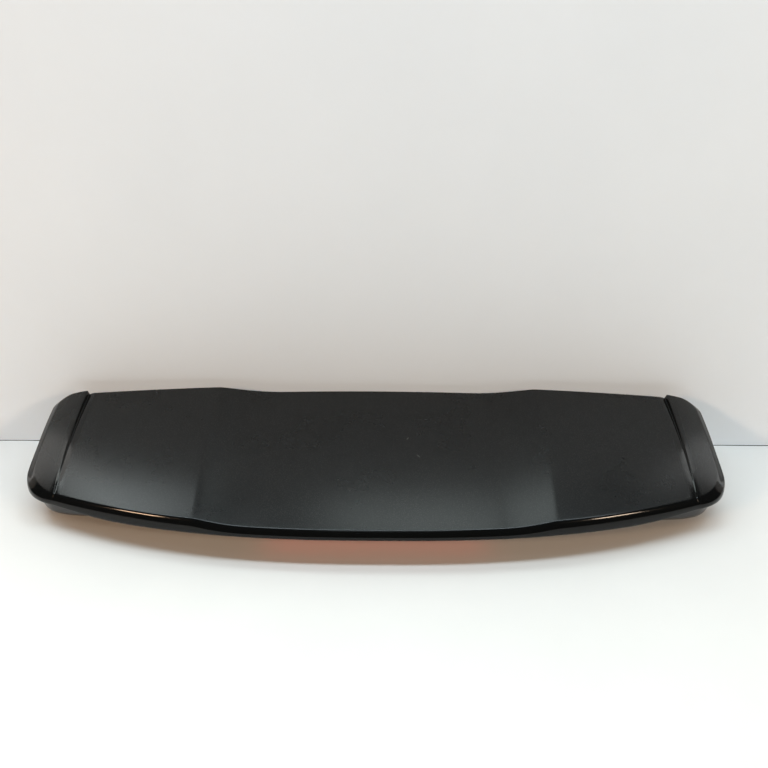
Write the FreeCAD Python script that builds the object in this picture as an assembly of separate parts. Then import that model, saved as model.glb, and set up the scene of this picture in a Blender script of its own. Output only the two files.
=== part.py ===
import FreeCAD, Part
import math
import os

Vec = FreeCAD.Vector

# Plan of the upper skin, measured on its top crease
depth = 335.0
lip_half = 601.0
side_taper = 0.035
side_bow = 4.0
lip_bow = 106.0
lip_bow_power = 2.5
roof_bow = 14.0
lip_corner_radius = 50.0
roof_corner_radius = 27.0
corner_sweep = math.radians(78.0)
end_crowding = math.radians(62.0)

# Heights of the upper skin above the stud tips
lip_height = 74.5
lip_crown = 5.5
roof_height = 150.0
roof_crown = 18.5
camber = 6.0

# Centre recess
recess_outer = 303.0
recess_inner_lip = 215.0
recess_inner_roof = 175.0
recess_depth_lip = 7.5
recess_depth_roof = 14.0
recess_crest = 0.16
ramp_margin = 13.5

# Raised end caps beyond the steps
end_cap = 54.0
step_start = lip_half - end_cap
step_width = 8.0
step_rise_lip = 1.2
step_rise_roof = 6.0
end_roll_lip = 3.0
end_roll_roof = 10.0

# Rim of the upper skin: lip, sides and roof edge
skin_wall = 3.0
lip_flare = 8.0
lip_edge_height = 52.2
lip_edge_crown = 10.0
lip_edge_lift = 10.0
lip_lift_length = 180.0
side_flare = 13.0
roof_flare = 4.0
roof_return = 37.0

# Stations in half the width of each skin: flat, ramp, wide, end
skin_counts = (5, 13, 8, 7)
pan_counts = (3, 9, 6, 6)

# Lower skin
pan_wall = 3.0
bond_gap = 0.4
pan_clearance = 1.2
pan_round = 10.0
pan_rear_height = 46.0
pan_end_height = 18.0
pan_end_from = 0.7 * lip_half
pan_end_to = 0.935 * lip_half
deck_height = 20.0
soffit_length = 90.0
soffit_blend = 20.0
deck_setback = 67.5
deck_front = depth / 2 - deck_setback
front_blend = 14.0
front_drop = 62.0
pan_bends = (-1.0, 0.0, 1.0)

# Studs, bosses and washers
stud_radius = 3.0
stud_head_size = 20.0
stud_head_thick = 2.5
stud_end_gap = 171.0
stud_setback = 17.0
stud_x = lip_half - stud_end_gap
stud_front_y = deck_front - stud_setback
stud_rear_y = round(soffit_length - depth / 2 + lip_bow * (stud_x / lip_half) ** lip_bow_power)
stud_tip_chamfer = 0.8
stud_shoulder = 4.0
stud_relief = 3.0
stud_relief_deep = 0.4
boss_radius = 15.0
boss_tall = 11.0
stud_clearance = 0.2
seal_radius = 16.0
seal_thick = 6.0
seal_bore_gap = 0.3

# Push clips
clip_setback = 22.0
clip_y = deck_front - clip_setback
clip_inner_x = 140.0
clip_outer_x = 290.0
clip_boss_radius = 11.0
clip_boss_tall = 7.0
clip_neck = 3.5
clip_bore_gap = 0.2
clip_flange = 9.0
clip_flange_thick = 1.6
clip_head = 5.6
clip_head_thick = 2.0
clip_shank = 2.8
clip_barb = 4.4
clip_barbs = 3
clip_barb_pitch = 4.0
clip_tip = 1.8
clip_blade = 1.8

# Cable grommet in the deck
grommet_x = 60.0
grommet_setback = 60.0
grommet_y = deck_front - grommet_setback
grommet_bore = 12.0
grommet_fit = 0.1
grommet_flange = 4.0
grommet_thick = 2.0
grommet_boss = 6.0
grommet_boss_tall = 5.0
grommet_nipple = 5.0

# Lamp, in its own frame on the soffit
lamp_half = 190.0
lamp_half_height = 12.5
lamp_setback = 51.5
lamp_y = lamp_setback - depth / 2
seat_proud = 1.2
seat_half = 218.0
seat_half_height = 19.0
seat_thick = 9.0
slot_gap = 0.8
lens_wall = 2.2
lens_recess = 0.6
flange_margin = 5.0
flange_thick = 2.0
gasket_thick = 1.5
housing_depth = 12.0
housing_wall = 2.4
board_thick = 1.6
board_gap = 0.6
board_level = 2.8
board_ledge = 5.0
led_count = 12
led_width = 3.5
led_tall = 2.8
led_thick = 1.5
led_margin = 20.0
lamp_screw_radius = 2.0
lamp_screw_head = 3.8
lamp_screw_head_thick = 2.4
lamp_screw_edge = 0.8
lamp_screw_gap = 0.1
drive_slit = 0.9
drive_deep = 1.2
lamp_screw_reach = 8.0
ear_radius = 7.0
ear_thick = 2.5
ear_offset = 11.0
screw_boss_radius = 5.0
connector_width = 22.0
connector_deep = 13.0
connector_tall = 8.0
connector_wall = 1.6
connector_pocket = 9.0
connector_x = 40.0
connector_pins = 3
connector_pin = 0.9

# Seals
roof_seal_thick = 4.0
roof_seal_tall = 9.0
roof_seal_tuck = 3.0
roof_seal_gap = 64.0
roof_seal_half = lip_half - roof_seal_gap
glue_gap = 0.05
side_seal_width = 10.0
side_seal_tall = 7.0
side_seal_gap = 49.0
side_seal_setback = 14.0
side_seal_length = 52.0
side_seal_x = lip_half - side_seal_gap
side_seal_front = deck_front - side_seal_setback
side_seal_rear = side_seal_front - side_seal_length


# Zero below -k, x above k, with a smooth bend between
def soft(x, k):
    if abs(x) > k:
        return max(x, 0.0)
    return (x + k) ** 2 / (4.0 * k)


def smooth(s):
    s = max(0.0, min(1.0, s))
    return s * s * (3.0 - 2.0 * s)


# Plan lines of the crease, without the corners
def lip_line(a):
    return -depth / 2 + lip_flare + lip_bow * (a / lip_half) ** lip_bow_power


def roof_line(a):
    return depth / 2 - roof_flare - roof_bow * (a / lip_half) ** 2


def corner_rise(a, radius, inset):
    start = lip_half - radius * math.sin(corner_sweep)
    s = max(0.0, min(1.0, (a - start) / (radius - inset)))
    return (radius - inset) * (1.0 - math.sqrt(1.0 - s * s))


def end_half(inset):
    return lip_half - inset * math.sin(corner_sweep)


def rear_y(a, inset):
    return lip_line(a) + corner_rise(a, lip_corner_radius, inset) + inset


def front_y(a, inset):
    return roof_line(a) - corner_rise(a, roof_corner_radius, inset) - inset


# Outward direction of the outline, turning to the side at the end station
def outward(a, inset, edge):
    if edge == "side":
        return 1.0, 0.0
    step = 0.01
    line = rear_y if edge == "rear" else front_y
    low = max(a - step, 0.0)
    rise = (line(a, inset) - line(low, inset)) / (a - low) if a > low else 0.0
    angle = math.atan(abs(rise))
    end = end_half(inset)
    turn = (a - step_start) / (end - step_start)
    if turn > 0:
        last = (line(end, inset) - line(end - step, inset)) / step
        angle = angle + (math.pi / 2 - math.atan(abs(last))) * turn * turn
    way = -1.0 if edge == "rear" else 1.0
    return math.sin(angle), way * math.cos(angle)


# Width fans out toward the roof, with bowed sides
def spread(y):
    return 1.0 + (side_taper * (y + depth / 8) - side_bow * (2 * y / depth) ** 2) / lip_half


def fan(xi, y):
    return xi * spread(y)


def unfan(x, y):
    return x / spread(y)


def recess(a, v):
    inner = recess_inner_lip + (recess_inner_roof - recess_inner_lip) * v
    s = max(0.0, min(1.0, (recess_outer - a) / (recess_outer - inner)))
    s = s * s * (1.0 + recess_crest) / (s + recess_crest)
    return (recess_depth_lip + (recess_depth_roof - recess_depth_lip) * v) * (1.0 - (1.0 - s) ** 2)


def top_z(a, y, raised):
    v = (y - lip_line(a)) / (roof_line(a) - lip_line(a))
    k = (a / lip_half) ** 2
    z = (1.0 - v) * (lip_height - lip_crown * k) + v * (roof_height - roof_crown * k)
    z = z + 4.0 * camber * v * (1.0 - v) - recess(a, v)
    if raised:
        z = z + step_rise_lip + (step_rise_roof - step_rise_lip) * v
        roll = end_roll_lip + (end_roll_roof - end_roll_lip) * v
        z = z - roll * (a - step_start) / end_cap
    return z


def lip_edge(a):
    lift = lip_edge_lift * smooth((a - lip_half + lip_lift_length) / lip_lift_length)
    return lip_edge_height - lip_edge_crown * (a / lip_half) ** 2 + lift


def roof_edge(a):
    return roof_height - roof_return - roof_crown * (a / lip_half) ** 2


def pan_z(a, y):
    near_end = smooth((a - pan_end_from) / (pan_end_to - pan_end_from))
    rear = pan_rear_height + (pan_end_height - pan_rear_height) * near_end
    slope = (rear - deck_height) / soffit_length
    front = roof_height - front_drop - roof_crown * (a / lip_half) ** 2
    climb = (front - deck_height) / (roof_line(a) - deck_front)
    z = deck_height + slope * soft(lip_line(a) + soffit_length - y, soffit_blend)
    return z + climb * soft(y - deck_front, front_blend)


def spaced(low, high, count):
    return [low + (high - low) * i / count for i in range(count)]


# Stations along the width: left end, main panel, right end
def stations(inset, counts):
    flat, ramp, wide, last = counts
    ramp_low = recess_inner_roof - ramp_margin
    ramp_high = recess_outer + ramp_margin
    half = spaced(0.0, ramp_low, flat) + spaced(ramp_low, ramp_high, ramp)
    half = half[1:] + spaced(ramp_high, step_start, wide) + [step_start]
    start = step_start + step_width
    reach = (end_half(inset) - start) / math.sin(end_crowding)
    ends = [start + reach * math.sin(i * end_crowding / last) for i in range(last + 1)]
    main = [-a for a in reversed(half)] + [0.0] + half
    left = [-a for a in reversed(ends)]
    steps = [float(i) for i in range(last + 1)]
    return [(left, steps, True), (main, main, False), (ends, steps, True)]


def curve(points, params):
    if len(points) == 2:
        return Part.LineSegment(points[0], points[1])
    line = Part.BSplineCurve()
    line.interpolate(Points=points, Parameters=params)
    return line


# Surface through a grid of points, with the same parameters on every row
def patch(grid, us, vs):
    across = [curve(list(row), us) for row in zip(*grid)]
    along = [curve(list(poles), vs) for poles in zip(*[c.getPoles() for c in across])]
    surface = Part.BSplineSurface()
    first, second = across[0], along[0]
    surface.buildFromPolesMultsKnots(
        [c.getPoles() for c in along],
        first.getMultiplicities(),
        second.getMultiplicities(),
        first.getKnots(),
        second.getKnots(),
        False,
        False,
        first.Degree,
        second.Degree,
    )
    return surface


def ruled(a, b):
    return Part.makeRuledSurface(a.toShape(), b.toShape())


# One curve through the points, or a straight from each point to the next
def lines(points, params, rounded):
    if rounded:
        return [curve(points, params)]
    return [Part.LineSegment(a, b) for a, b in zip(points, points[1:])]


# A sheet is a cap with a rim all round, which turns and runs straight to the free edge.
# Its sections are curves when rounded, or else straights from row to row.
def sheet(inset, cap_y, cap_z, rim_point, counts, cap_rows, rim_rows, rounded):
    rows = [i / (cap_rows - 1) for i in range(cap_rows)]
    turns = [i / (rim_rows - 1) for i in range(rim_rows)]
    faces = []
    free = []
    groups = []

    def cap_point(xi, v, raised):
        y = cap_y(abs(xi), v, inset)
        return Vec(fan(xi, y), y, cap_z(abs(xi), y, raised))

    def rim_line(xi, v, raised, edge):
        base = cap_point(xi, v, raised)
        nx, ny = outward(abs(xi), inset, edge)
        share = smooth((abs(xi) - step_start) / (end_half(inset) - step_start))
        points = []
        for t in turns + [2.0]:
            out, z = rim_point(abs(xi), base, t, v, raised, edge, share, (nx, ny))
            points.append(Vec(base.x + math.copysign(nx * out, xi), base.y + ny * out, z))
        return points

    def add_band(grid, us, vs):
        if rounded:
            return [patch(grid, us, vs).toShape()]
        rails = [curve(list(points), us) for points in zip(*grid)]
        return [ruled(a, b) for a, b in zip(rails, rails[1:])]

    def add_rim(grid, us):
        edge = [curve([points[k] for points in grid], us) for k in (-2, -1)]
        faces.extend(add_band([points[:-1] for points in grid], us, turns))
        faces.append(ruled(edge[0], edge[1]))
        free.append(edge[1])

    def section(points, params):
        return lines(points, params, rounded)

    for line, us, raised in stations(inset, counts):
        cap = [[cap_point(xi, v, raised) for v in rows] for xi in line]
        rims = []
        for v, edge in ((0.0, "rear"), (1.0, "front")):
            rims.append([rim_line(xi, v, raised, edge) for xi in line])
            add_rim(rims[-1], us)
        faces.extend(add_band(cap, us, rows))
        groups.append((cap, rims))
    for before, after in zip(groups, groups[1:]):
        left = section(before[0][-1], rows)
        right = section(after[0][0], rows)
        for first, second in zip(before[1], after[1]):
            left += section(first[-1][:-1], turns) + [curve(first[-1][-2:], turns)]
            right += section(second[0][:-1], turns) + [curve(second[0][-2:], turns)]
            free.append(Part.LineSegment(first[-1][-1], second[0][-1]))
        faces.extend([ruled(a, b) for a, b in zip(left, right)])
    for xi in (-end_half(inset), end_half(inset)):
        side = [rim_line(xi, v, True, "side") for v in rows]
        pieces = [side] if rounded else zip(side, side[1:])
        for piece in pieces:
            add_rim(list(piece), rows)
    return faces, free


def close_sheets(outer, inner):
    faces = outer[0] + inner[0] + [ruled(a, b) for a, b in zip(outer[1], inner[1])]
    body = Part.Compound(faces)
    body.sewShape(0.001)
    solid = Part.Solid(body.Shells[0])
    if solid.Volume < 0:
        solid.reverse()
    return solid


# Rounded rim profile: share of the flare and of the drop; t from 0 to 1 turns, 2 is the free edge
def rim_shape(t, start, rounded):
    if t > 1.0:
        return 1.0, rounded + (1.0 - rounded) * (t - 1.0)
    angle = start + (math.pi / 2 - start) * t
    out = (math.sin(angle) - math.sin(start)) / (1.0 - math.sin(start))
    return out, rounded * (math.cos(start) - math.cos(angle)) / math.cos(start)


def skin_rim(a, base, t, v, raised, edge, share, normal):
    lip = rim_shape(t, math.radians(55.0), 0.9)
    side = rim_shape(t, math.radians(35.0), 0.85)
    roof = rim_shape(t, math.radians(20.0), 0.25)
    end = end_half(0.0)
    if edge == "rear":
        plain, flare, bottom = lip, lip_flare, lip_edge(a)
    elif edge == "front":
        plain, flare, bottom = roof, roof_flare, roof_edge(a)
    else:
        plain, flare, share = side, side_flare, 1.0
        bottom = lip_edge(end) + (roof_edge(end) - lip_edge(end)) * v
    if edge != "side" and share > 0.999:
        bottom = lip_edge(end) if edge == "rear" else roof_edge(end)
    out = (1.0 - share) * plain[0] * flare + share * side[0] * side_flare
    drop = (1.0 - share) * plain[1] + share * side[1]
    return out, base.z - drop * (base.z - bottom)


def pan_rim(radius):
    def point(a, base, t, v, raised, edge, share, normal):
        if t <= 1.0:
            angle = math.pi / 2 * t
            return radius * math.sin(angle), base.z + radius * (1.0 - math.cos(angle))
        x = abs(base.x) + normal[0] * radius
        y = base.y + normal[1] * radius
        return radius, top_z(unfan(x, y), y, raised) - skin_wall - bond_gap
    return point


def skin_y(a, v, inset):
    return rear_y(a, inset) + v * (front_y(a, inset) - rear_y(a, inset))


# Rows of the pan: rear edge, bend of the soffit, bend of the front slope, front edge
def pan_y(a, v, inset):
    soffit_end = lip_line(a) + soffit_length
    levels = [rear_y(a, inset)]
    levels += [soffit_end + shift * soffit_blend for shift in pan_bends]
    levels += [deck_front + shift * front_blend for shift in pan_bends]
    levels.append(front_y(a, inset))
    return levels[round(v * (len(levels) - 1))]


def upper_skin():
    rows = (skin_counts, 9, 7, True)
    outer = sheet(0.0, skin_y, top_z, skin_rim, *rows)
    inner = sheet(skin_wall, skin_y, lambda a, y, r: top_z(a, y, r) - skin_wall, skin_rim, *rows)
    return close_sheets(outer, inner)


def lower_skin():
    inset = skin_wall + pan_clearance + pan_round
    rows = (pan_counts, 2 * len(pan_bends) + 2, 4, False)
    inside = pan_rim(pan_round - pan_wall)
    outer = sheet(inset, pan_y, lambda a, y, r: pan_z(a, y), pan_rim(pan_round), *rows)
    inner = sheet(inset, pan_y, lambda a, y, r: pan_z(a, y) + pan_wall, inside, *rows)
    return close_sheets(outer, inner)


# Placement of the lamp frame: its Z points into the skin, away from the road
def lamp_frame():
    step = 0.5
    rise = (pan_z(0.0, lamp_y + step) - pan_z(0.0, lamp_y - step)) / (2 * step)
    turn = FreeCAD.Rotation(Vec(1, 0, 0), math.degrees(math.atan(rise)))
    return FreeCAD.Placement(Vec(0, lamp_y, pan_z(0.0, lamp_y) - seat_proud), turn)


def place(shape):
    moved = shape.copy()
    moved.Placement = lamp_frame().multiply(moved.Placement)
    return moved


# Long slot with round ends
def slot(half, half_height, low, high):
    reach = half - half_height
    a = Vec(-reach, -half_height, low)
    b = Vec(reach, -half_height, low)
    c = Vec(reach, half_height, low)
    d = Vec(-reach, half_height, low)
    right = Part.Arc(b, Vec(half, 0, low), c)
    left = Part.Arc(d, Vec(-half, 0, low), a)
    edges = [Part.LineSegment(a, b), right, Part.LineSegment(c, d), left]
    wire = Part.Wire([e.toShape() for e in edges])
    return Part.Face(wire).extrude(Vec(0, 0, high - low))


def rod(radius, x, y, low, high):
    return Part.makeCylinder(radius, high - low, Vec(x, y, low))


def turned(profile, x, y):
    wire = Part.makePolygon([Vec(r, 0, z) for r, z in profile + profile[:1]])
    solid = Part.Face(wire).revolve(Vec(0, 0, 0), Vec(0, 0, 1), 360)
    solid.translate(Vec(x, y, 0))
    return solid


def stud_places():
    return [(x, y) for x in (-stud_x, stud_x) for y in (stud_rear_y, stud_front_y)]


def clip_places():
    return [-clip_outer_x, -clip_inner_x, clip_inner_x, clip_outer_x]


boss_low = deck_height + pan_wall / 2
boss_top = deck_height + boss_tall
clip_boss_top = deck_height + clip_boss_tall
grommet_top = deck_height + grommet_boss_tall
flange_low = seat_thick + gasket_thick
flange_high = flange_low + flange_thick
housing_high = flange_high + housing_depth
board_high = flange_high + board_level + board_thick
ear_x = lamp_half + flange_margin + ear_offset
flange_half = lamp_half + flange_margin
flange_half_height = lamp_half_height + flange_margin


def finished_lower_skin():
    body = lower_skin()
    corner = Vec(-seat_half, -seat_half_height, 0)
    seat = Part.makeBox(2 * seat_half, 2 * seat_half_height, seat_thick, corner)
    adds = [place(seat)]
    cuts = [place(slot(lamp_half + slot_gap, lamp_half_height + slot_gap, -seat_thick, 2 * seat_thick))]
    bore = lamp_screw_radius + lamp_screw_gap
    bore_low = flange_high - lamp_screw_reach - 1.0
    for x in (-ear_x, ear_x):
        adds.append(place(rod(screw_boss_radius, x, 0, 1.0, flange_high)))
        cuts.append(place(rod(bore, x, 0, bore_low, flange_high + 1.0)))
    for x, y in stud_places():
        adds.append(rod(boss_radius, x, y, boss_low, boss_top))
        cuts.append(rod(stud_shoulder + stud_clearance, x, y, deck_height - 1.0, boss_top + 1.0))
    for x in clip_places():
        adds.append(rod(clip_boss_radius, x, clip_y, boss_low, clip_boss_top))
        cuts.append(rod(clip_neck + clip_bore_gap, x, clip_y, deck_height - 1.0, clip_boss_top + 1.0))
    adds.append(rod(grommet_bore + grommet_boss, grommet_x, grommet_y, boss_low, grommet_top))
    cuts.append(rod(grommet_bore, grommet_x, grommet_y, deck_height - 1.0, grommet_top + 1.0))
    body = body.fuse(adds)
    return body.cut(cuts).Solids[0]


# Stud: free end, relief and a shoulder that fills the boss, under a square head
def stud(x, y):
    free = stud_radius - stud_tip_chamfer
    low = deck_height - seal_thick
    high = boss_top + stud_head_thick / 2
    neck = stud_radius - stud_relief_deep
    profile = [(0.0, 0.0), (free, 0.0), (stud_radius, stud_tip_chamfer)]
    profile += [(stud_radius, low - stud_relief), (neck, low - stud_relief), (neck, low)]
    profile += [(stud_shoulder, low), (stud_shoulder, high), (0.0, high)]
    half = stud_head_size / 2
    corner = Vec(x - half, y - half, boss_top)
    head = Part.makeBox(stud_head_size, stud_head_size, stud_head_thick, corner)
    upright = [e for e in head.Edges if e.BoundBox.ZLength > stud_head_thick / 2]
    head = head.makeFillet(half / 4, upright)
    return turned(profile, x, y).fuse(head).removeSplitter()


def washer(x, y):
    ring = rod(seal_radius, x, y, deck_height - seal_thick, deck_height)
    return ring.cut(rod(stud_shoulder + seal_bore_gap, x, y, 0.0, deck_height + 1.0))


# Push clip: round head, neck and flange, with crossed barbed blades below
def clip(x):
    low = deck_height - clip_flange_thick
    tip = low - clip_barbs * clip_barb_pitch - clip_tip
    side = [(clip_shank, low + 0.5)]
    for i in range(clip_barbs):
        z = low - 1.0 - i * clip_barb_pitch
        side += [(clip_shank, z), (clip_barb, z), (clip_shank, z - clip_barb_pitch + 1.0)]
    side.append((clip_shank / 2, tip))
    outline = [Vec(r, -clip_blade / 2, z) for r, z in side]
    outline += [Vec(-r, -clip_blade / 2, z) for r, z in reversed(side)]
    blade = Part.Face(Part.makePolygon(outline + outline[:1])).extrude(Vec(0, clip_blade, 0))
    crossing = blade.copy()
    crossing.rotate(Vec(0, 0, 0), Vec(0, 0, 1), 90)
    body = rod(clip_flange, 0, 0, low, deck_height)
    body = body.fuse([rod(clip_neck, 0, 0, low, clip_boss_top + 0.5), blade, crossing])
    head = rod(clip_head, 0, 0, clip_boss_top, clip_boss_top + clip_head_thick)
    body = body.fuse(head).removeSplitter()
    body.translate(Vec(x, clip_y, 0))
    return body


def grommet():
    neck = grommet_bore - grommet_fit
    wide = grommet_bore + grommet_flange
    low = deck_height - grommet_thick
    high = grommet_top + grommet_thick
    cup = neck - grommet_thick
    profile = [(0.0, low), (wide, low), (wide - 1.0, deck_height), (neck, deck_height)]
    profile += [(neck, grommet_top), (wide - 1.5, grommet_top), (cup, high), (cup, deck_height)]
    profile += [(grommet_nipple, deck_height), (grommet_nipple - 2.0, high), (0.0, high)]
    return turned(profile, grommet_x, grommet_y)


def lens():
    body = slot(lamp_half, lamp_half_height, lens_recess, flange_high)
    body = body.fuse(slot(flange_half, flange_half_height, flange_low, flange_high))
    low = lens_recess + lens_wall
    inside = slot(lamp_half - lens_wall, lamp_half_height - lens_wall, low, flange_high + 1.0)
    return place(body.cut(inside).removeSplitter())


def gasket():
    ring = slot(flange_half, flange_half_height, seat_thick, flange_low)
    return place(ring.cut(slot(lamp_half + slot_gap, lamp_half_height + slot_gap, 0.0, housing_high)))


def housing():
    body = slot(flange_half, flange_half_height, flange_high, housing_high)
    for way in (-1, 1):
        ear = slot(2 * ear_radius, ear_radius, flange_high, flange_high + ear_thick)
        ear.translate(Vec(way * (ear_x - ear_radius), 0, 0))
        body = body.fuse(ear)
    edge = housing_wall
    wide = slot(flange_half - edge, flange_half_height - edge, flange_high - 1.0, board_high)
    edge = housing_wall + board_ledge
    high = housing_high - housing_wall
    deep = slot(flange_half - edge, flange_half_height - edge, board_high - 1.0, high)
    body = body.cut([wide, deep])
    for way in (-1, 1):
        body = body.cut(rod(lamp_screw_radius + lamp_screw_gap, way * ear_x, 0, 0.0, housing_high))
    return place(body.removeSplitter())


def board():
    edge = housing_wall + board_gap
    low = board_high - board_thick
    return place(slot(flange_half - edge, flange_half_height - edge, low, board_high))


def leds():
    first = -(lamp_half - led_margin)
    pitch = 2 * (lamp_half - led_margin) / (led_count - 1)
    low = board_high - board_thick - led_thick
    boxes = []
    for i in range(led_count):
        corner = Vec(first + i * pitch - led_width / 2, -led_tall / 2, low)
        boxes.append(place(Part.makeBox(led_width, led_tall, led_thick, corner)))
    return Part.Compound(boxes)


def lamp_screws():
    screws = []
    low = flange_high + ear_thick
    high = low + lamp_screw_head_thick
    half = lamp_screw_head / 2
    for x in (-ear_x, ear_x):
        shank = rod(lamp_screw_radius, x, 0, flange_high - lamp_screw_reach, low + 1.0)
        head = rod(lamp_screw_head, x, 0, low, high)
        rim = [e for e in head.Edges if e.BoundBox.ZMin > high - 0.01]
        head = head.makeChamfer(lamp_screw_edge, rim)
        slit = drive_slit / 2
        drive = Part.makeBox(2 * half, drive_slit, drive_deep, Vec(x - half, -slit, high - drive_deep))
        cross = Part.makeBox(drive_slit, 2 * half, drive_deep, Vec(x - slit, -half, high - drive_deep))
        screws.append(place(shank.fuse(head).cut([drive, cross]).removeSplitter()))
    return Part.Compound(screws)


def connector():
    corner = Vec(connector_x - connector_width / 2, -connector_deep / 2, housing_high)
    body = Part.makeBox(connector_width, connector_deep, connector_tall, corner)
    inner = corner + Vec(connector_wall, connector_deep - connector_pocket, connector_wall)
    wide = connector_width - 2 * connector_wall
    tall = connector_tall - 2 * connector_wall
    body = body.cut(Part.makeBox(wide, connector_pocket + 1.0, tall, inner))
    pitch = wide / (connector_pins + 1)
    middle = housing_high + connector_tall / 2
    for i in range(connector_pins):
        x = corner.x + connector_wall + pitch * (i + 1) - connector_pin / 2
        start = Vec(x, corner.y + connector_deep - connector_pocket - 1.0, middle - connector_pin / 2)
        body = body.fuse(Part.makeBox(connector_pin, connector_pocket - 1.0, connector_pin, start))
    return place(body.removeSplitter())


def box_section(corners):
    return Part.makePolygon(corners + corners[:1])


def roof_seal():
    count = 24
    sections = []
    for i in range(count + 1):
        xi = -roof_seal_half + 2 * roof_seal_half * i / count
        a = abs(xi)
        y = front_y(a, skin_wall + pan_clearance) + glue_gap
        top = roof_edge(a) + roof_seal_tuck
        x = fan(xi, y)
        low = top - roof_seal_tall
        out = y + roof_seal_thick
        ring = [Vec(x, y, top), Vec(x, out, top - 1.0), Vec(x, out, low + 2.0), Vec(x, y, low)]
        sections.append(box_section(ring))
    return Part.makeLoft(sections, True, False)


def side_seal(way):
    count = 4
    sections = []
    for i in range(count + 1):
        y = side_seal_rear + (side_seal_front - side_seal_rear) * i / count
        ring = []
        for shift, drop in ((-0.5, 0.0), (0.5, 0.0), (0.4, 1.0), (-0.4, 1.0)):
            x = side_seal_x + shift * side_seal_width
            ring.append(Vec(way * x, y, pan_z(unfan(x, y), y) - glue_gap - drop * side_seal_tall))
        sections.append(box_section(ring))
    return Part.makeLoft(sections, True, False)


parts = {}
parts["upper_skin"] = upper_skin()
parts["lower_skin"] = finished_lower_skin()
parts["mounting_studs"] = Part.Compound([stud(x, y) for x, y in stud_places()])
parts["stud_seals"] = Part.Compound([washer(x, y) for x, y in stud_places()])
parts["push_clips"] = Part.Compound([clip(x) for x in clip_places()])
parts["cable_grommet"] = grommet()
parts["lamp_lens"] = lens()
parts["lamp_gasket"] = gasket()
parts["lamp_housing"] = housing()
parts["lamp_board"] = board()
parts["lamp_leds"] = leds()
parts["lamp_screws"] = lamp_screws()
parts["lamp_connector"] = connector()
parts["roof_edge_seal"] = roof_seal()
parts["side_seal_left"] = side_seal(-1)
parts["side_seal_right"] = side_seal(1)

os.makedirs("parts", exist_ok=True)
for name, shape in parts.items():
    shape.exportStep("parts/" + name + ".step")
    print(name, shape.ShapeType, shape.isValid(), round(shape.Volume / 1000, 2))
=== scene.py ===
import math
import bmesh
import bpy
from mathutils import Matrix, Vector


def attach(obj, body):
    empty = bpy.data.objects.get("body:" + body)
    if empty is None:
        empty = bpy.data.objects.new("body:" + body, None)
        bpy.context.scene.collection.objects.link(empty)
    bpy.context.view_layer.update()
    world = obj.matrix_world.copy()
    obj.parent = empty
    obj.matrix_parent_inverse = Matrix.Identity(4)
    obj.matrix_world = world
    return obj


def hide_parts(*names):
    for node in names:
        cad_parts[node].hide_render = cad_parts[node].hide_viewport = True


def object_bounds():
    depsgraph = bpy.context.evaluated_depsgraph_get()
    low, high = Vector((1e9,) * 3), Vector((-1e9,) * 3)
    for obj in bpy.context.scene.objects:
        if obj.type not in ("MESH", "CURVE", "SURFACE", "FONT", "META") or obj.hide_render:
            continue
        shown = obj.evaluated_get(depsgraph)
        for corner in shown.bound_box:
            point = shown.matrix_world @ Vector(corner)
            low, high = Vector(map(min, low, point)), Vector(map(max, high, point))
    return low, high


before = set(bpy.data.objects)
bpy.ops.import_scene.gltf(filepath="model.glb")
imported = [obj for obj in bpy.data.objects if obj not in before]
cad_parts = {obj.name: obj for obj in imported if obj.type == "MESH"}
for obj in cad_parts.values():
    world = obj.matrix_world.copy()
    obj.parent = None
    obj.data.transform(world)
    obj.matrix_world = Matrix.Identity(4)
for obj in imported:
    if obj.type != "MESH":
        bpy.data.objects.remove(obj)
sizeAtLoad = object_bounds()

scene = bpy.context.scene
mm = 0.001


# Form of the upper skin in millimetres; the step, caps and side rim are finer than the solid's
form = {
    "depth": 335.0, "lipHalf": 601.0, "taper": 0.035, "sideBow": 4.0, "wall": 3.0,
    "lipBow": 106.0, "bowPower": 2.5, "roofBow": 14.0,
    "lipCorner": 47.0, "roofCorner": 27.0, "sweep": math.radians(78.0),
    "lipHeight": 74.5, "lipCrown": 5.5, "roofHeight": 150.0, "roofCrown": 18.5, "camber": 6.0,
    "recessOuter": 303.0, "recessInnerLip": 215.0, "recessInnerRoof": 175.0,
    "recessLip": 7.5, "recessRoof": 14.0, "recessCrest": 0.16,
    "stepStart": 547.0, "stepWidth": 3.5, "stepLip": 0.6, "stepRoof": 6.0,
    "gutter": 11.0, "gutterDepth": 2.0,  # hollow along the foot of the step
    "rollLip": 3.0, "rollRoof": 10.0, "rollPower": 1.6,  # fall of the end caps
    "lipFlare": 8.0, "lipTurn": math.radians(55.0), "lipRound": 0.9,
    "lipEdge": 52.2, "lipEdgeCrown": 10.0, "lipLift": 10.0, "liftLength": 180.0,
    "roofFlare": 4.0, "roofTurn": math.radians(20.0), "roofRound": 0.25, "roofReturn": 37.0,
    "sideFlare": 13.0, "cornerFlare": 15.4, "cornerFade": 0.4, "sideRound": 0.85,
    "bevelShare": 0.72, "bevelTurn": 0.4, "bevelSlope": math.radians(37.0), "bevelMost": 0.5,
    "creaseRound": 2.0, "creaseTurn": 0.12,
}

# How finely the skin is cut: station spans with their counts, then rows and rings
skinCut = {
    "spans": ((0.0, 150.0, 12), (150.0, 330.0, 60), (330.0, 535.0, 16),
              (535.0, 545.5, 6), (545.5, 552.5, 20), (552.5, 560.0, 5)),
    "cornerStart": 560.0, "cornerCount": 26, "cornerSweep": 1.3,
    "rowCount": 44, "rowEase": 0.35, "creaseRings": 5, "rimRings": 10, "edgeRings": 3,
    "aboveEdge": 1.9, "lowerEdge": 2.0, "insideTop": 0.5,  # turns of the rings at the wall's edge
}


def clamp(value, low=0.0, high=1.0):
    return max(low, min(high, value))


def smooth(s):
    s = clamp(s)
    return s * s * (3.0 - 2.0 * s)


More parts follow.
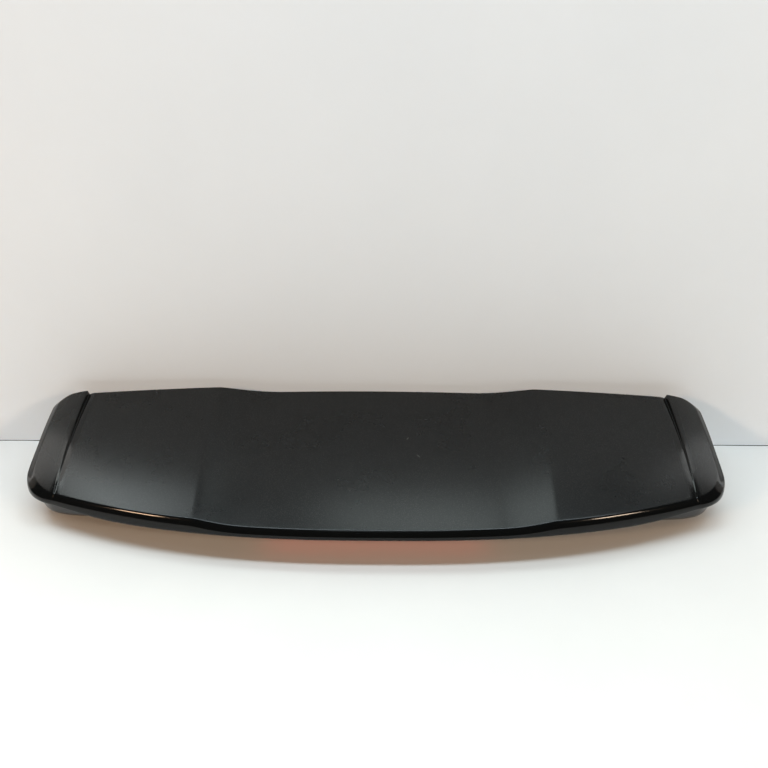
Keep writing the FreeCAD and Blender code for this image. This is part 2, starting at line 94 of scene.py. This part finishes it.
def lipLine(a):
    bow = form["lipBow"] * (a / form["lipHalf"]) ** form["bowPower"]
    return -form["depth"] / 2 + form["lipFlare"] + bow


def roofLine(a):
    return form["depth"] / 2 - form["roofFlare"] - form["roofBow"] * (a / form["lipHalf"]) ** 2


def cornerRise(a, radius, inset):
    start = form["lipHalf"] - radius * math.sin(form["sweep"])
    s = clamp((a - start) / (radius - inset))
    return (radius - inset) * (1.0 - math.sqrt(1.0 - s * s))


def endHalf(inset):
    return form["lipHalf"] - inset * math.sin(form["sweep"])


def rearY(a, inset):
    return lipLine(a) + cornerRise(a, form["lipCorner"], inset) + inset


def frontY(a, inset):
    return roofLine(a) - cornerRise(a, form["roofCorner"], inset) - inset


# Direction out of the outline, turned to the side by the end of the cap
def outward(a, inset, edge):
    if edge == "side":
        return 1.0, 0.0
    step = 0.01
    line = rearY if edge == "rear" else frontY
    low = max(a - step, 0.0)
    rise = (line(a, inset) - line(low, inset)) / (a - low) if a > low else 0.0
    angle = math.atan(abs(rise))
    end = endHalf(inset)
    turn = (a - form["stepStart"]) / (end - form["stepStart"])
    if turn > 0:
        last = (line(end, inset) - line(end - step, inset)) / step
        angle += (math.pi / 2 - math.atan(abs(last))) * turn * turn
    way = -1.0 if edge == "rear" else 1.0
    return math.sin(angle), way * math.cos(angle)


# Stations lean outwards towards the roof edge
def fan(xi, y):
    bow = form["sideBow"] * (2 * y / form["depth"]) ** 2
    return xi * (1.0 + (form["taper"] * (y + form["depth"] / 8) - bow) / form["lipHalf"])


def between(lip, roof, v):
    return form[lip] + (form[roof] - form[lip]) * v


def recess(a, v):
    inner = between("recessInnerLip", "recessInnerRoof", v)
    s = clamp((form["recessOuter"] - a) / (form["recessOuter"] - inner))
    s = s * s * (1.0 + form["recessCrest"]) / (s + form["recessCrest"])
    return between("recessLip", "recessRoof", v) * (1.0 - (1.0 - s) ** 2)


def topZ(a, y):
    v = (y - lipLine(a)) / (roofLine(a) - lipLine(a))
    k = (a / form["lipHalf"]) ** 2
    lip = form["lipHeight"] - form["lipCrown"] * k
    roof = form["roofHeight"] - form["roofCrown"] * k
    z = (1.0 - v) * lip + v * roof + 4.0 * form["camber"] * v * (1.0 - v) - recess(a, v)
    climb = smooth((a - form["stepStart"]) / form["stepWidth"])
    foot = form["stepStart"] - form["gutter"]
    if a > foot:
        dip = form["gutterDepth"] * v * clamp((a - foot) / form["gutter"]) ** 2
        z -= dip * (1.0 - climb)
    if a > form["stepStart"]:
        out = (a - form["stepStart"]) / (form["lipHalf"] - form["stepStart"])
        z += between("stepLip", "stepRoof", v) * climb
        z -= between("rollLip", "rollRoof", v) * out ** form["rollPower"]
    return z


def lipEdge(a):
    lift = smooth((a - form["lipHalf"] + form["liftLength"]) / form["liftLength"])
    return form["lipEdge"] - form["lipEdgeCrown"] * (a / form["lipHalf"]) ** 2 + form["lipLift"] * lift


def roofEdge(a):
    return form["roofHeight"] - form["roofReturn"] - form["roofCrown"] * (a / form["lipHalf"]) ** 2


# Shares of flare and height at turn t: 0 at the crease, 1 at the widest, 2 at the lower edge
def rimShape(t, start, rounded):
    if t > 1.0:
        return 1.0, rounded + (1.0 - rounded) * (t - 1.0)
    angle = start + (math.pi / 2 - start) * t
    out = (math.sin(angle) - math.sin(start)) / (1.0 - math.sin(start))
    return out, rounded * (math.cos(start) - math.cos(angle)) / math.cos(start)


# The same at the sides: a plain bevel, then the turn down
def sideShape(t, height, flare):
    share, turn, rounded = form["bevelShare"], form["bevelTurn"], form["sideRound"]
    bevel = min(math.tan(form["bevelSlope"]) * share * flare / height, form["bevelMost"])
    if t > 1.0:
        return 1.0, rounded + (1.0 - rounded) * (t - 1.0)
    if t < turn:
        return share * t / turn, bevel * t / turn
    angle = math.pi / 2 * (t - turn) / (1.0 - turn)
    return share + (1.0 - share) * math.sin(angle), bevel + (rounded - bevel) * (1.0 - math.cos(angle))


# The side rim is widest at the lip corner
def sideOut(v):
    return between("cornerFlare", "sideFlare", smooth(v / form["cornerFade"]))


def skinRim(xi, y, z, t, edge, v, inset):
    a = abs(xi)
    end = endHalf(0.0)
    share = smooth((a - form["stepStart"]) / (endHalf(inset) - form["stepStart"]))
    atEnd = share > 0.999  # the last station meets the side's lower edge
    if edge == "front":
        plain, flare = rimShape(t, form["roofTurn"], form["roofRound"]), form["roofFlare"]
        bottom = roofEdge(end if atEnd else a)
    else:
        plain, flare = rimShape(t, form["lipTurn"], form["lipRound"]), form["lipFlare"]
        bottom = lipEdge(end if atEnd else a)
    if edge == "side":
        share = 1.0
        bottom = lipEdge(end) + (roofEdge(end) - lipEdge(end)) * v
    side = sideShape(t, z - bottom, sideOut(v))
    out = (1.0 - share) * plain[0] * flare + share * side[0] * sideOut(v)
    drop = (1.0 - share) * plain[1] + share * side[1]
    nx, ny = outward(a, inset, edge)
    x = fan(xi, y) + math.copysign(nx * out, xi)
    return Vector((x, y + ny * out, z - drop * (z - bottom)))


# Places along the half width, closer at the recess, the step and the corner
def stationMarks():
    marks = []
    for low, high, count in skinCut["spans"]:
        marks += [low + (high - low) * i / count for i in range(count)]
    start, count, sweep = skinCut["cornerStart"], skinCut["cornerCount"], skinCut["cornerSweep"]
    room = form["lipHalf"] - start
    marks += [start + room * math.sin(i * sweep / count) / math.sin(sweep) for i in range(count + 1)]
    return marks


def stationsAt(inset):
    shrink = endHalf(0.0) - endHalf(inset)
    start = skinCut["cornerStart"]
    right = [a - shrink * clamp((a - start) / (form["lipHalf"] - start)) for a in stationMarks()]
    return [-a for a in reversed(right[1:])] + right


# One closed ring of points round the rim
def ring(inset, t, rows, drop=0.0):
    stations = stationsAt(inset)
    end = stations[-1]
    low, high = rearY(end, inset), frontY(end, inset)

    def point(xi, y, edge, v):
        return skinRim(xi, y, topZ(abs(xi), y) - drop, t, edge, v, inset)

    points = [point(xi, rearY(abs(xi), inset), "rear", 0.0) for xi in stations]
    points += [point(end, low + (high - low) * v, "side", v) for v in rows[1:-1]]
    points += [point(xi, frontY(abs(xi), inset), "front", 1.0) for xi in reversed(stations)]
    points += [point(-end, low + (high - low) * v, "side", v) for v in reversed(rows[1:-1])]
    return points


def roundOver(first, corner, last, count):
    rings = []
    for i in range(1, count + 1):
        s = i / count
        trio = zip(first, corner, last)
        rings.append([p * (1 - s) * (1 - s) + c * 2 * s * (1 - s) + q * s * s for p, c, q in trio])
    return rings


def topGrid(rows):
    inset = form["creaseRound"]
    grid = []
    for v in rows:
        line = []
        for xi in stationsAt(inset):
            low, high = rearY(abs(xi), inset), frontY(abs(xi), inset)
            y = low + (high - low) * v
            line.append(Vector((fan(xi, y), y, topZ(abs(xi), y))))
        grid.append(line)
    return grid


# Rings from the crease down the rim, round the lower edge and up inside the wall
def rimRings(inner, rows):
    wall, turn = form["wall"], form["creaseTurn"]
    rings = roundOver(inner, ring(0.0, 0.0, rows), ring(0.0, turn, rows), skinCut["creaseRings"])
    for i in range(1, skinCut["rimRings"] + 1):
        rings.append(ring(0.0, turn + (1.0 - turn) * i / skinCut["rimRings"], rows))
    high, low = skinCut["aboveEdge"], skinCut["lowerEdge"]
    above, edge = ring(0.0, high, rows), ring(0.0, low, rows)
    insideAbove, inside = ring(wall, high, rows, wall), ring(wall, low, rows, wall)
    middle = [(p + q) / 2 for p, q in zip(edge, inside)]
    rings.append(above)
    rings += roundOver(above, edge, middle, skinCut["edgeRings"])
    rings += roundOver(middle, inside, insideAbove, skinCut["edgeRings"])
    rings.append(ring(wall, skinCut["insideTop"], rows, wall))
    return rings


def upperSkin():
    count, ease = skinCut["rowCount"], skinCut["rowEase"]
    rows = [smooth(i / count) * ease + (1.0 - ease) * i / count for i in range(count + 1)]
    grid = topGrid(rows)
    wide, tall = len(grid[0]), len(grid)
    points = [p for line in grid for p in line]
    faces = []
    for j in range(tall - 1):
        for i in range(wide - 1):
            corner = j * wide + i
            faces.append((corner, corner + 1, corner + wide + 1, corner + wide))
    last = list(range(wide)) + [j * wide + wide - 1 for j in range(1, tall - 1)]
    last += [(tall - 1) * wide + i for i in reversed(range(wide))]
    last += [j * wide for j in reversed(range(1, tall - 1))]
    for loop in rimRings([points[i] for i in last], rows):
        now = list(range(len(points), len(points) + len(loop)))
        points += loop
        for i in range(len(loop)):
            k = (i + 1) % len(loop)
            faces.append((last[k], last[i], now[i], now[k]))
        last = now
    low, high = sizeAtLoad
    inBox = [tuple(clamp(p[i], low[i], high[i]) for i in range(3)) for p in (q * mm for q in points)]
    mesh = bpy.data.meshes.new("upperSkinMesh")
    mesh.from_pydata(inBox, [], faces)
    mesh.polygons.foreach_set("use_smooth", [True] * len(mesh.polygons))
    mesh.update()
    piece = bpy.data.objects.new("upperSkin", mesh)
    scene.collection.objects.link(piece)
    return piece


joinWithin = 2e-6  # metres


# A copy of a node with joined vertices, smooth up to an angle in degrees
def softCopy(node, angle):
    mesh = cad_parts[node].data.copy()
    work = bmesh.new()
    work.from_mesh(mesh)
    bmesh.ops.remove_doubles(work, verts=work.verts, dist=joinWithin)
    work.to_mesh(mesh)
    work.free()
    mesh.materials.clear()
    mesh.polygons.foreach_set("use_smooth", [True] * len(mesh.polygons))
    mesh.set_sharp_from_angle(angle=math.radians(angle))
    piece = bpy.data.objects.new(node + "Soft", mesh)
    scene.collection.objects.link(piece)
    return piece


# A socket takes a link from another socket, or a plain value
def feed(tree, socket, value):
    if isinstance(value, bpy.types.NodeSocket):
        tree.links.new(value, socket)
    else:
        socket.default_value = value


def mathNode(tree, operation, first, second=0.5):
    node = tree.nodes.new("ShaderNodeMath")
    node.operation = operation
    feed(tree, node.inputs[0], first)
    feed(tree, node.inputs[1], second)
    return node.outputs[0]


def vectorNode(tree, operation, first, second=None):
    node = tree.nodes.new("ShaderNodeVectorMath")
    node.operation = operation
    tree.links.new(first, node.inputs[0])
    if second is not None:
        tree.links.new(second, node.inputs[1])
    return node.outputs["Value" if operation == "LENGTH" else "Vector"]


def rangeNode(tree, value, start, stop, kind="LINEAR"):
    node = tree.nodes.new("ShaderNodeMapRange")
    node.interpolation_type = kind
    tree.links.new(value, node.inputs["Value"])
    feed(tree, node.inputs["From Min"], start)
    feed(tree, node.inputs["From Max"], stop)
    return node


def noiseNode(tree, scale, detail):
    place = tree.nodes.new("ShaderNodeTexCoord")
    noise = tree.nodes.new("ShaderNodeTexNoise")
    tree.links.new(place.outputs["Object"], noise.inputs["Vector"])
    feed(tree, noise.inputs["Scale"], scale)
    noise.inputs["Detail"].default_value = detail
    return noise


# A node group with float or vector inputs and one value out
def newGroup(name, inputs, result, kind="NodeSocketFloat"):
    group = bpy.data.node_groups.new(name, "ShaderNodeTree")
    for label in inputs:
        group.interface.new_socket(label, in_out="INPUT", socket_type=kind)
    group.interface.new_socket(result, in_out="OUTPUT", socket_type="NodeSocketFloat")
    start = group.nodes.new("NodeGroupInput")
    stop = group.nodes.new("NodeGroupOutput")
    return group, start.outputs, stop.inputs[result]


dustPatches = {"scale": 9.0, "detail": 3.0, "full": 0.6}
mottleNoise = {"detail": 5.0, "rough": 0.6, "low": 0.3, "high": 0.7}


# Fine dust specks: mask of small points, thicker in patches
def dustGroup():
    group, given, result = newGroup("dustSpecks", ("Scale", "Reach", "Amount"), "Mask")
    place = group.nodes.new("ShaderNodeTexCoord")
    cells = group.nodes.new("ShaderNodeTexVoronoi")
    cells.feature = "F1"
    group.links.new(place.outputs["Object"], cells.inputs["Vector"])
    group.links.new(given["Scale"], cells.inputs["Scale"])
    near = mathNode(group, "LESS_THAN", cells.outputs["Distance"], given["Reach"])
    noise = noiseNode(group, dustPatches["scale"], dustPatches["detail"])
    patches = rangeNode(group, noise.outputs["Fac"], 0.0, dustPatches["full"])
    both = mathNode(group, "MULTIPLY", near, patches.outputs["Result"])
    group.links.new(mathNode(group, "MULTIPLY", both, given["Amount"]), result)
    return group


# Soft uneven value between two limits
def mottleGroup():
    group, given, result = newGroup("softMottle", ("Scale", "Low", "High"), "Value")
    noise = noiseNode(group, given["Scale"], mottleNoise["detail"])
    noise.inputs["Roughness"].default_value = mottleNoise["rough"]
    spread = rangeNode(group, noise.outputs["Fac"], mottleNoise["low"], mottleNoise["high"])
    group.links.new(given["Low"], spread.inputs["To Min"])
    group.links.new(given["High"], spread.inputs["To Max"])
    group.links.new(spread.outputs["Result"], result)
    return group


# Share of the surface that faces up, where dust lies
def upGroup():
    group, given, result = newGroup("upFacing", ("From", "To"), "Mask")
    surface = group.nodes.new("ShaderNodeNewGeometry")
    parts = group.nodes.new("ShaderNodeSeparateXYZ")
    group.links.new(surface.outputs["Normal"], parts.inputs["Vector"])
    spread = rangeNode(group, parts.outputs["Z"], given["From"], given["To"], "SMOOTHSTEP")
    group.links.new(spread.outputs["Result"], result)
    return group


# One small lighter mark: soft round a centre, long in one direction
def lighterMarkGroup():
    group, given, result = newGroup("lighterMark", ("Centre", "Turn", "Size"), "Mask", "NodeSocketVector")
    place = group.nodes.new("ShaderNodeTexCoord")
    shift = vectorNode(group, "SUBTRACT", place.outputs["Object"], given["Centre"])
    turn = group.nodes.new("ShaderNodeVectorRotate")
    turn.rotation_type = "EULER_XYZ"
    group.links.new(shift, turn.inputs["Vector"])
    group.links.new(given["Turn"], turn.inputs["Rotation"])
    scaled = vectorNode(group, "DIVIDE", turn.outputs["Vector"], given["Size"])
    spread = rangeNode(group, vectorNode(group, "LENGTH", scaled), 1.0, 0.3, "SMOOTHSTEP")
    group.links.new(spread.outputs["Result"], result)
    return group


# Band along the foot of the end steps, where no dust holds
def stepGroup():
    group, given, result = newGroup("nearStep", ("Line", "Lean", "Reach", "Full"), "Mask")
    place = group.nodes.new("ShaderNodeTexCoord")
    parts = group.nodes.new("ShaderNodeSeparateXYZ")
    group.links.new(place.outputs["Object"], parts.inputs["Vector"])
    away = mathNode(group, "ABSOLUTE", parts.outputs["X"])
    leant = mathNode(group, "MULTIPLY", parts.outputs["Y"], given["Lean"])
    line = mathNode(group, "ADD", given["Line"], leant)
    gap = mathNode(group, "ABSOLUTE", mathNode(group, "SUBTRACT", away, line))
    spread = rangeNode(group, gap, given["Reach"], given["Full"], "SMOOTHSTEP")
    group.links.new(spread.outputs["Result"], result)
    return group


groups = {
    "dust": dustGroup(), "mottle": mottleGroup(), "up": upGroup(), "lighterMarkShape": lighterMarkGroup(), "step": stepGroup(),
}


def useGroup(tree, key, **values):
    node = tree.nodes.new("ShaderNodeGroup")
    node.node_tree = groups[key]
    for label, value in values.items():
        node.inputs[label].default_value = value
    return node.outputs[0]


def newMaterial(name):
    material = bpy.data.materials.new(name)
    material.use_nodes = True
    tree = material.node_tree
    return material, tree, tree.nodes["Principled BSDF"]


# Blend of two colours, each a tuple or a socket
def blendColour(tree, mask, low, high):
    mix = tree.nodes.new("ShaderNodeMix")
    mix.data_type = "RGBA"
    for label, colour in (("A", low), ("B", high)):
        feed(tree, mix.inputs[label], (*colour, 1.0) if isinstance(colour, tuple) else colour)
    tree.links.new(mask, mix.inputs["Factor"])
    return mix.outputs["Result"]


# Gloss black paint: clean and sharp on the rim, hazed by fine dust where it faces up
paint = {
    "base": (0.0028, 0.0031, 0.0032), "dust": (0.10, 0.10, 0.097), "shine": 0.24,
    "cleanRough": 0.10, "hazeRough": (0.265, 0.295), "hazeScale": 9.0, "hazeFacing": (0.86, 0.93),
    "dustScale": 520.0, "dustReach": 0.3, "dustAmount": 0.16,
    # Lighter marks: two small scuffs on the panel, and a lighter streak along the foot of the left step
    "lighterMarks": [((0.0561, 0.0351, 0.113), (0.0, 0.0, 0.5), (0.0016, 0.0052, 0.01)),  # centre, turn, size
               ((0.0744, -0.0064, 0.106), (0.0, 0.0, -0.7), (0.0015, 0.0060, 0.01)),
               ((-0.5500, -0.0420, 0.083), (0.0, 0.0, 0.02), (0.0024, 0.0190, 0.02))],
    "lighterMarkColour": (0.06, 0.06, 0.058), "lighterMarkAmount": 0.7,
    "stepLine": 0.5479, "stepLean": 0.0186, "stepReach": 0.014, "stepFull": 0.003,
}


def paintMaterial():
    material, tree, shader = newMaterial("glossBlackPaint")
    start, full = paint["hazeFacing"]
    up = useGroup(tree, "up", From=start, To=full)
    dust = useGroup(tree, "dust", Scale=paint["dustScale"],
                    Reach=paint["dustReach"], Amount=paint["dustAmount"])
    colour = blendColour(tree, mathNode(tree, "MULTIPLY", dust, up), paint["base"], paint["dust"])
    for centre, turn, size in paint["lighterMarks"]:
        mark = useGroup(tree, "lighterMarkShape", Centre=centre, Turn=turn, Size=size)
        share = mathNode(tree, "MULTIPLY", mark, paint["lighterMarkAmount"])
        colour = blendColour(tree, share, colour, paint["lighterMarkColour"])
    tree.links.new(colour, shader.inputs["Base Color"])
    low, high = paint["hazeRough"]
    haze = useGroup(tree, "mottle", Scale=paint["hazeScale"], Low=low, High=high)
    lift = mathNode(tree, "SUBTRACT", haze, paint["cleanRough"])
    clean = useGroup(tree, "step", Line=paint["stepLine"], Lean=paint["stepLean"],
                     Reach=paint["stepReach"], Full=paint["stepFull"])
    dusty = mathNode(tree, "MULTIPLY", up, mathNode(tree, "SUBTRACT", 1.0, clean))
    rough = mathNode(tree, "ADD", mathNode(tree, "MULTIPLY", lift, dusty), paint["cleanRough"])
    tree.links.new(rough, shader.inputs["Roughness"])
    shader.inputs["Specular IOR Level"].default_value = paint["shine"]
    return material


# Finishes of the other pieces: two colours, roughness limits, metal share and size of the mottle
finishes = {
    "lowerBlack": {"low": (0.009, 0.009, 0.0095), "high": (0.014, 0.014, 0.0145),
                   "rough": (0.14, 0.26), "metal": 0.0, "scale": 25.0},
    "redLens": {"low": (0.62, 0.012, 0.010), "high": (0.70, 0.018, 0.014),
                "rough": (0.06, 0.12), "metal": 0.0, "scale": 60.0,
                "paintedGlow": 0.42},  # painted glow: emission on the unlit lens that paints red light into the shadow under the lip
    "lampGrey": {"low": (0.05, 0.05, 0.053), "high": (0.07, 0.07, 0.073),
                 "rough": (0.45, 0.6), "metal": 0.0, "scale": 60.0},
    "boardGreen": {"low": (0.02, 0.12, 0.045), "high": (0.03, 0.15, 0.06),
                   "rough": (0.35, 0.5), "metal": 0.0, "scale": 80.0},
    "ledWhite": {"low": (0.78, 0.75, 0.55), "high": (0.85, 0.83, 0.66),
                 "rough": (0.2, 0.35), "metal": 0.0, "scale": 300.0},
    "zincSteel": {"low": (0.50, 0.50, 0.47), "high": (0.66, 0.65, 0.6),
                  "rough": (0.28, 0.42), "metal": 1.0, "scale": 120.0},
    "clipNylon": {"low": (0.66, 0.64, 0.56), "high": (0.74, 0.72, 0.65),
                  "rough": (0.4, 0.55), "metal": 0.0, "scale": 120.0},
    "blackRubber": {"low": (0.012, 0.012, 0.012), "high": (0.024, 0.024, 0.024),
                    "rough": (0.6, 0.78), "metal": 0.0, "scale": 60.0},
    "blackFoam": {"low": (0.016, 0.016, 0.017), "high": (0.045, 0.045, 0.047),
                  "rough": (0.85, 0.95), "metal": 0.0, "scale": 900.0},
}
roughFiner = 1.7  # the roughness mottle is finer than the colour's


def mottledColour(tree, kit):
    share = useGroup(tree, "mottle", Scale=kit["scale"], Low=0.0, High=1.0)
    return blendColour(tree, share, kit["low"], kit["high"])


def finishMaterial(name):
    kit = finishes[name]
    material, tree, shader = newMaterial(name)
    colour = mottledColour(tree, kit)
    tree.links.new(colour, shader.inputs["Base Color"])
    # Painted glow: the unlit lens emits light, standing in for the red light it sends into the shadow under
    # the lip
    if "paintedGlow" in kit:
        tree.links.new(colour, shader.inputs["Emission Color"])
        shader.inputs["Emission Strength"].default_value = kit["paintedGlow"]
    low, high = kit["rough"]
    uneven = useGroup(tree, "mottle", Scale=kit["scale"] * roughFiner, Low=low, High=high)
    tree.links.new(uneven, shader.inputs["Roughness"])
    shader.inputs["Metallic"].default_value = kit["metal"]
    return material


print("skin")
skin = upperSkin()
skin.data.materials.append(paintMaterial())
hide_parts("upper_skin")
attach(skin, "root")

print("other pieces")
dressing = {  # node: finish, slot, smooth angle
    "lower_skin": ("lowerBlack", "lower_black", 32.0), "mounting_studs": ("zincSteel", "zinc_steel", 30.0),
    "stud_seals": ("blackFoam", "black_foam", 30.0), "push_clips": ("clipNylon", "clip_nylon", 30.0),
    "cable_grommet": ("blackRubber", "black_rubber", 30.0), "lamp_lens": ("redLens", "red_lens", 30.0),
    "lamp_gasket": ("blackFoam", "black_foam", 30.0), "lamp_housing": ("lampGrey", "lamp_grey", 30.0),
    "lamp_board": ("boardGreen", "board_green", 30.0), "lamp_leds": ("ledWhite", "led_white", 30.0),
    "lamp_screws": ("zincSteel", "zinc_steel", 30.0), "lamp_connector": ("lampGrey", "lamp_grey", 30.0),
    "roof_edge_seal": ("blackRubber", "black_rubber", 30.0),
    "side_seal_left": ("blackFoam", "black_foam", 30.0), "side_seal_right": ("blackFoam", "black_foam", 30.0),
}
made = {name: finishMaterial(name) for name in finishes}
for node, (finish, slotName, angle) in dressing.items():
    piece = softCopy(node, angle)
    piece.data.materials.append(made[finish])
    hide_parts(node)
    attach(piece, "root")

print("stage")
stageKit = {
    "half": 2.6, "front": -1.2, "wallY": 0.186, "wallFoot": 0.002, "wallTop": 0.82,
    "rough": 0.9, "shine": 0.1,
    "floor": {"low": (0.622, 0.632, 0.634), "high": (0.645, 0.655, 0.657), "scale": 3.0},
    "wall": {"low": (0.74, 0.82, 0.90), "high": (0.76, 0.84, 0.92), "scale": 4.0},
}


# Clear from behind, so that the part can be seen from every side
def stageMaterial(name):
    material, tree, shader = newMaterial(name + "Paper")
    tree.links.new(mottledColour(tree, stageKit[name]), shader.inputs["Base Color"])
    shader.inputs["Roughness"].default_value = stageKit["rough"]
    shader.inputs["Specular IOR Level"].default_value = stageKit["shine"]
    clear = tree.nodes.new("ShaderNodeBsdfTransparent")
    side = tree.nodes.new("ShaderNodeNewGeometry")
    mix = tree.nodes.new("ShaderNodeMixShader")
    tree.links.new(side.outputs["Backfacing"], mix.inputs["Fac"])
    tree.links.new(shader.outputs["BSDF"], mix.inputs[1])
    tree.links.new(clear.outputs["BSDF"], mix.inputs[2])
    tree.links.new(mix.outputs["Shader"], tree.nodes["Material Output"].inputs["Surface"])
    return material


# A sheet between a near or low line and a far or high one, each given as y and z
def stageSheet(name, first, second):
    half = stageKit["half"]
    mesh = bpy.data.meshes.new(name)
    mesh.from_pydata([(-half, *first), (half, *first), (half, *second), (-half, *second)], [], [(0, 1, 2, 3)])
    mesh.materials.append(stageMaterial(name))
    sheet = bpy.data.objects.new(name, mesh)
    scene.collection.objects.link(sheet)


wallY = stageKit["wallY"]
stageSheet("floor", (stageKit["front"], 0.0), (wallY, 0.0))
stageSheet("wall", (wallY, stageKit["wallFoot"]), (wallY, stageKit["wallTop"]))

print("lights")
lights = {
    "strip": {"place": (-0.1, -0.17, 2.2), "aim": (-0.1, -0.17, 0.0), "size": (3.4, 0.26),
              "power": 44.5, "colour": (0.80, 0.94, 1.0)},  # draws the edge of the shadow
    "leftLamp": {"place": (-2.2, -1.9, 1.5), "aim": (0.0, 0.0, 0.1), "size": (0.5, 0.35),
                 "power": 40.0, "colour": (1.0, 0.66, 0.42)},  # warm fill from both sides
    "rightLamp": {"place": (2.2, -1.9, 1.5), "aim": (0.0, 0.0, 0.1), "size": (0.5, 0.35),
                  "power": 37.0, "colour": (1.0, 0.77, 0.57)},
    "wash": {"place": (0.0, -0.9, 2.2), "aim": (0.0, 0.186, 0.45), "size": (2.6, 0.2),
             "power": 0.75, "colour": (0.84, 0.96, 1.0), "spread": 30.0},  # reaches the wall only
    "leftCard": {"place": (-1.22, 0.9, 1.9), "aim": (-0.53, -0.05, 0.1), "size": (1.66, 0.9),
                 "power": 54.0, "colour": (0.90, 1.0, 1.0)},  # cards that the panel mirrors
    "leftSide": {"place": (-1.09, 0.18, 0.5), "aim": (-1.09, -1.0, 0.5), "size": (0.6, 0.5),
                 "power": 1.9, "colour": (1.0, 0.98, 0.94)},  # cards that the end caps mirror
    "rightSide": {"place": (1.09, 0.18, 0.5), "aim": (1.09, -1.0, 0.5), "size": (0.6, 0.5),
                  "power": 1.9, "colour": (0.97, 1.0, 1.0)},
    "middleCard": {"place": (0.24, 0.7, 1.9), "aim": (0.07, -0.05, 0.1), "size": (0.94, 0.9),
                   "power": 16.5, "colour": (0.88, 1.0, 0.98)},
}
surround = {"colour": (0.9, 0.95, 1.0, 1.0), "strength": 0.03}


def areaLight(name, kit):
    data = bpy.data.lights.new(name, "AREA")
    data.shape = "RECTANGLE"
    data.size, data.size_y = kit["size"]
    data.energy = kit["power"]
    data.color = kit["colour"]
    data.spread = math.radians(kit.get("spread", 180.0))
    lamp = bpy.data.objects.new(name, data)
    lamp.location = kit["place"]
    lamp.rotation_mode = "QUATERNION"
    lamp.rotation_quaternion = (Vector(kit["aim"]) - Vector(kit["place"])).to_track_quat("-Z", "Y")
    scene.collection.objects.link(lamp)


for name, kit in lights.items():
    areaLight(name, kit)
world = bpy.data.worlds.new("room")
scene.world = world
world.use_nodes = True
background = world.node_tree.nodes["Background"]
background.inputs["Color"].default_value = surround["colour"]
background.inputs["Strength"].default_value = surround["strength"]
scene.view_settings.view_transform = "Standard"

print("camera")
view = {
    "place": (0.013, -1.1135, 0.890), "down": 30.0, "roll": 0.4, "nearest": 0.02,
    "sensor": 36.0, "focal": 770.0, "width": 768.0,  # focal length and width in pixels
}
camera = bpy.data.cameras.new("camera")
camera.sensor_width = view["sensor"]
camera.lens = view["sensor"] * view["focal"] / view["width"]
camera.clip_start = view["nearest"]
eye = bpy.data.objects.new("camera", camera)
eye.location = view["place"]
eye.rotation_euler = (math.radians(90.0 - view["down"]), 0.0, 0.0)
eye.rotation_euler.rotate_axis("Z", math.radians(view["roll"]))
scene.collection.objects.link(eye)
scene.camera = eye
